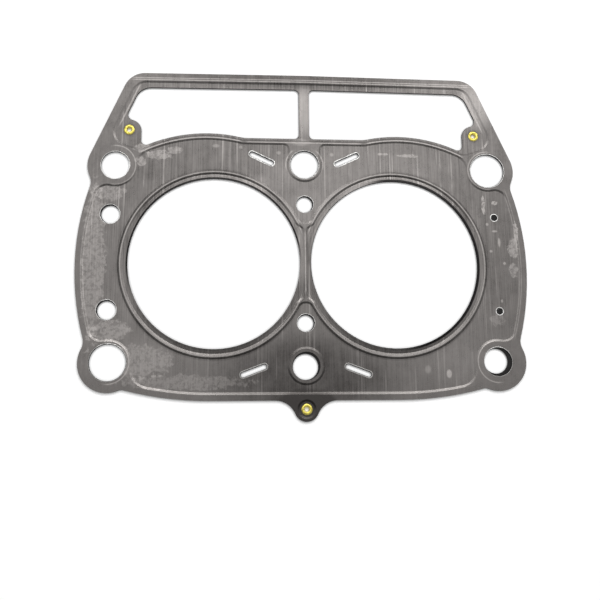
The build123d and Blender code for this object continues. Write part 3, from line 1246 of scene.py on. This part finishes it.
@dataclass
class PunchedRims:
    """Thin bright edges round the openings of the upper sheet.

    Attributes:
        rise: the thickness of the turned edge in millimetres.
        sunk: how much of it lies in the sheet in millimetres.
        corner_steps: points on each rounded corner.
        corner_share: the corners' radius over the width, just under a half so that they don't meet.
        groups: the openings.
        steel: the finish.
    """

    rise: float = 0.06
    sunk: float = 0.02
    corner_steps: int = 10
    corner_share: float = 0.4999
    groups: tuple[RimGroup, ...] = (
        RimGroup(
            "slot_rims",
            slot_pair(20.8, 51.0, 25.0) + slot_pair(24.35, -50.35, -20.5),
            length=13.0,
            width=2.6,
            surface_z=PRESSED_Z,
            rim=0.50,
        ),
        round_group("vent_rims", rear_and_front(93.0, 22.8), 3.2, PRESSED_Z, 0.40),
        round_group("side_rims", rear_and_front(-92.3, 22.6), 9.3, PRESSED_Z, 0.20),
        round_group("centre_rims", rear_and_front(0.0, 28.4), 8.3, PRESSED_Z, 0.20),
        round_group("bolt_rims", across_corners(-CORNER_X, CORNER_Y), 13.5, UPPER_Z, 0.26),
        round_group("dowel_rims", across_corners(CORNER_X, CORNER_Y), 17.0, UPPER_Z, 0.22),
        round_group("middle_rim", ((0.0, MIDDLE_Y, 0.0),), 14.0, UPPER_Z, 0.22),
    )
    steel: CutSteel = field(default_factory=CutSteel)

    def build(self) -> list[bpy.types.Object]:
        """Build one piece for each group.

        Returns:
            The pieces.
        """
        tree = self._tree(self.steel.build())
        return [self._piece(tree, group) for group in self.groups]

    def _empty_tree(self) -> bpy.types.NodeTree:
        """A geometry tree without nodes, with a rim's sizes as its named inputs.

        Returns:
            The node tree.
        """
        tree = bpy.data.node_groups.new("punched_rim", "GeometryNodeTree")
        face = tree.interface
        face.new_socket("Geometry", in_out="INPUT", socket_type="NodeSocketGeometry")
        for name in ("Length", "Width", "Rim", "Rise"):
            face.new_socket(name, in_out="INPUT", socket_type="NodeSocketFloat")
        face.new_socket("Geometry", in_out="OUTPUT", socket_type="NodeSocketGeometry")
        return tree

    def _tree(self, material: bpy.types.Material) -> bpy.types.NodeTree:
        """Nodes that put a thin rounded frame on every point.

        Args:
            material: the frames' material.

        Returns:
            The node tree.
        """
        tree = self._empty_tree()
        book = NodeBook(tree, "NodeGroupOutput")
        given = book.node("NodeGroupInput", {}, {}).outputs
        rim = Value(book, given["Rim"])
        short_side = Value(book, given["Width"]) + rim
        sides = {"Width": Value(book, given["Length"]) + rim, "Height": short_side}
        outline = book.node("GeometryNodeCurvePrimitiveQuadrilateral", {}, sides).outputs[0]
        radius = short_side * self.corner_share
        corners = {"Curve": outline, "Count": self.corner_steps, "Radius": radius}
        rounded = book.node("GeometryNodeFilletCurve", {"mode": "POLY"}, corners).outputs[0]
        edge = {"Width": rim, "Height": given["Rise"]}
        section = book.node("GeometryNodeCurvePrimitiveQuadrilateral", {}, edge).outputs[0]
        swept = book.node("GeometryNodeCurveToMesh", {}, {0: rounded, 1: section}).outputs[0]
        named = {"data_type": "FLOAT"}
        turn = book.node("GeometryNodeInputNamedAttribute", named, {"Name": "turn"}).outputs[0]
        spin = book.node("ShaderNodeCombineXYZ", {}, {"Z": turn}).outputs[0]
        setting = {"Points": given["Geometry"], "Instance": swept, "Rotation": spin}
        placed = book.node("GeometryNodeInstanceOnPoints", {}, setting).outputs[0]
        real = book.node("GeometryNodeRealizeInstances", {}, {0: placed}).outputs[0]
        dressing = {"Geometry": real, "Material": material}
        book.close(book.node("GeometryNodeSetMaterial", {}, dressing).outputs[0])
        return tree

    def _piece(self, tree: bpy.types.NodeTree, group: RimGroup) -> bpy.types.Object:
        """Run the nodes on one group's places and keep the result as a plain mesh.

        Args:
            tree: the rim's nodes.
            group: the openings.

        Returns:
            The finished piece.
        """
        z = (group.surface_z + self.rise / 2 - self.sunk) * MM
        points = bpy.data.meshes.new(group.name + "_places")
        points.from_pydata([(x * MM, y * MM, z) for x, y, _ in group.places], [], [])
        turns = points.attributes.new("turn", "FLOAT", "POINT")
        for item, (_, _, turn) in zip(turns.data, group.places):
            item.value = math.radians(turn)
        piece = bpy.data.objects.new(group.name, points)
        bpy.context.scene.collection.objects.link(piece)
        maker = piece.modifiers.new("rims", "NODES")
        maker.node_group = tree
        sizes = {"Length": group.length, "Width": group.width, "Rim": group.rim, "Rise": self.rise}
        for item in tree.interface.items_tree:
            if item.item_type == "SOCKET" and item.in_out == "INPUT" and item.name in sizes:
                maker[item.identifier] = sizes[item.name] * MM
        view = bpy.context.evaluated_depsgraph_get()
        view.update()
        made = bpy.data.meshes.new_from_object(piece.evaluated_get(view))
        piece.modifiers.remove(maker)
        piece.data = made
        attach(piece, "root")
        return piece


def ramp(value: float, start: float, end: float) -> float:
    """How far a number has come from the start to the end, from 0 to 1."""
    return max(0.0, min(1.0, (value - start) / (end - start)))


@dataclass
class Eyelets:
    """The three hollow rivets, rolled over at the top with six crimped petals.

    Attributes:
        names: the nodes that they stand for.
        steps: points round each rivet.
        petals: how many petals the crimp has.
        petal_depth: how far the petals reach in, in millimetres.
        petal_z: heights between which the petals grow, in millimetres.
        petal_r: radii between which they grow, from the outside in.
        section: radius and height of the profile in millimetres, from the foot up the bore.
        brass: the finish.
    """

    names: tuple[str, ...] = ("eyelet_left", "eyelet_right", "eyelet_front")
    steps: int = 60
    petals: int = 6
    petal_depth: float = 0.09
    petal_z: Pair = (1.0, 1.4)
    petal_r: Pair = (1.7, 1.15)
    section: tuple[Pair, ...] = (
        (1.15, 0.05), (1.15, 0.70), (1.15, 1.30), (1.18, 1.42), (1.26, 1.52), (1.38, 1.59),
        (1.54, 1.635), (1.74, 1.65), (1.96, 1.645), (2.16, 1.61), (2.33, 1.55), (2.46, 1.46),
        (2.53, 1.36), (2.55, 1.27), (2.52, 1.21), (2.44, 1.20), (1.65, 1.20), (1.65, 0.30),
        (2.44, 0.30), (2.52, 0.27), (2.55, 0.20), (2.53, 0.11), (2.46, 0.05),
    )
    brass: Brass = field(default_factory=Brass)

    def build(self) -> list[bpy.types.Object]:
        """Build the rivets.

        Returns:
            The finished rivets.
        """
        material = self.brass.build()
        return [self._rivet(name, material) for name in self.names]

    def _rivet(self, node: str, material: bpy.types.Material) -> bpy.types.Object:
        """Make one rivet and let it stand for its node.

        Args:
            node: the node that the rivet stands for.
            material: its finish.

        Returns:
            The rivet.
        """
        low, high = (Vector(corner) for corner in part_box(node))
        mesh = bpy.data.meshes.new(node + "_rolled")
        mesh.from_pydata(self._points((low + high) / 2), [], self._faces())
        mesh.materials.append(material)
        for face in mesh.polygons:
            face.use_smooth = True
        rivet = bpy.data.objects.new(node + "_rolled", mesh)
        bpy.context.scene.collection.objects.link(rivet)
        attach(rivet, "root")
        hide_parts(node)
        return rivet

    def _points(self, centre: Vector) -> list[Triple]:
        """The profile's points, turned round the rivet's axis.

        Args:
            centre: a point on the axis, in metres.

        Returns:
            The points in metres, one profile after the other.
        """
        points = []
        for step in range(self.steps):
            angle = 2 * math.pi * step / self.steps
            petal = self.petal_depth * math.cos(self.petals * angle)
            for radius, height in self.section:
                reach = ramp(height, *self.petal_z) * ramp(radius, *self.petal_r)
                out = (radius - petal * reach) * MM
                x = centre.x + out * math.cos(angle)
                y = centre.y + out * math.sin(angle)
                points.append((x, y, height * MM))
        return points

    def _faces(self) -> list[tuple[int, ...]]:
        """The faces between each profile and the next.

        Returns:
            The numbers of each face's four points.
        """
        count = len(self.section)
        faces = []
        for step in range(self.steps):
            here = step * count
            there = (step + 1) % self.steps * count
            for index in range(count):
                after = (index + 1) % count
                faces.append((here + index, here + after, there + after, there + index))
        return faces


@dataclass(frozen=True)
class SoftLamp:
    """One area lamp.

    Attributes:
        name: the lamp's name.
        place: its centre in metres.
        aim: the point that it faces, in metres.
        size: its width and height in metres.
        power: its power in watts.
    """

    name: str
    place: Triple
    aim: Triple
    size: Pair
    power: float

    def build(self) -> bpy.types.Object:
        """Make the lamp.

        Returns:
            The lamp.
        """
        data = bpy.data.lights.new(self.name, "AREA")
        data.shape = "RECTANGLE"
        data.size, data.size_y = self.size
        data.energy = self.power
        lamp = bpy.data.objects.new(self.name, data)
        lamp.location = self.place
        facing = Vector(self.aim) - Vector(self.place)
        lamp.rotation_euler = facing.to_track_quat("-Z", "Y").to_euler()
        bpy.context.scene.collection.objects.link(lamp)
        return lamp


@dataclass
class Studio:
    """Floor, lamps and surroundings.

    Attributes:
        half_floor: half the floor's width in metres.
        floor_z: the floor's height in metres, a hair under the gasket.
        sky: brightness of the surroundings.
        backdrop: sines of the elevation up to which direct rays see white, and from which none do.
        white: the floor's finish.
        lamps: the lamps.
    """

    half_floor: float = 3.0
    floor_z: float = -0.00002
    sky: float = 0.20
    backdrop: Pair = (0.45, 0.72)
    white: StudioWhite = field(default_factory=StudioWhite)
    lamps: tuple[SoftLamp, ...] = (
        SoftLamp("top", (0.10, 0.25, 1.20), (0.10, 0.25, 0.0), (2.0, 0.8), 6.2),
        SoftLamp("rear", (0.15, 0.82, 1.10), (0.10, 0.10, 0.0), (1.4, 0.28), 7.5),
    )

    def build(self) -> bpy.types.Object:
        """Make the studio.

        Returns:
            The floor.
        """
        half = self.half_floor
        corners = [(-half, -half), (half, -half), (half, half), (-half, half)]
        mesh = bpy.data.meshes.new("floor")
        mesh.from_pydata([(x, y, self.floor_z) for x, y in corners], [], [(0, 1, 2, 3)])
        mesh.materials.append(self.white.build())
        floor = bpy.data.objects.new("floor", mesh)
        bpy.context.scene.collection.objects.link(floor)
        for lamp in self.lamps:
            lamp.build()
        self._surroundings()
        return floor

    def _surroundings(self) -> None:
        """Give the world a soft grey overhead and a white backdrop down to the horizon."""
        world = bpy.data.worlds.new("studio")
        world.use_nodes = True
        book = NodeBook(world.node_tree, "ShaderNodeOutputWorld")
        toward = book.node("ShaderNodeTexCoord", {}, {}).outputs["Generated"]
        rise = book.value("ShaderNodeSeparateXYZ", {}, {0: toward}, "Z")
        low, high = self.backdrop
        shown = book.direct_rays() * rise.step(high, low)
        soft, plain = (
            book.node("ShaderNodeBackground", {}, {"Color": WHITE, "Strength": strength}).outputs[0]
            for strength in (self.sky, 1.0)
        )
        book.close(book.layered(shown, soft, plain))
        bpy.context.scene.world = world


@dataclass(frozen=True)
class PhotoCamera:
    """The camera at the photograph's place, measured from the bores and the holes.

    Attributes:
        frame_px: the photograph's width in pixels.
        focal_px: the focal length in pixels.
        centre_px: the lens axis in the photograph, in pixels from its upper left corner.
        place_mm: the lens in millimetres.
        turn_deg: the camera's turn about X, Y and Z in degrees.
        sensor_mm: the sensor's width in millimetres.
    """

    frame_px: float = 600.0
    focal_px: float = 890.43
    centre_px: Pair = (293.3, 199.3)
    place_mm: Triple = (-42.58, -69.11, 416.74)
    turn_deg: Triple = (13.505, -4.994, -0.417)
    sensor_mm: float = 36.0

    def build(self) -> bpy.types.Object:
        """Make the camera.

        Returns:
            The camera.
        """
        data = bpy.data.cameras.new("photo_camera")
        data.sensor_width = self.sensor_mm
        data.lens = self.focal_px / self.frame_px * self.sensor_mm
        half = self.frame_px / 2
        data.shift_x = (half - self.centre_px[0]) / self.frame_px
        data.shift_y = (self.centre_px[1] - half) / self.frame_px
        camera = bpy.data.objects.new("photo_camera", data)
        camera.location = Vector(self.place_mm) * MM
        camera.rotation_euler = Euler([math.radians(turn) for turn in self.turn_deg], "XYZ")
        bpy.context.scene.collection.objects.link(camera)
        bpy.context.scene.camera = camera
        return camera


def main() -> None:
    """Build the camera, the studio and the dressed gasket, in that order."""
    bpy.context.scene.view_settings.view_transform = "Standard"
    PhotoCamera().build()
    Studio().build()
    for part in (LayerStack(), PunchedRims(), Eyelets()):
        for piece in part.build():
            log.info("%s: %s", type(part).__name__, piece.name)


if __name__ == "__main__":
    main()
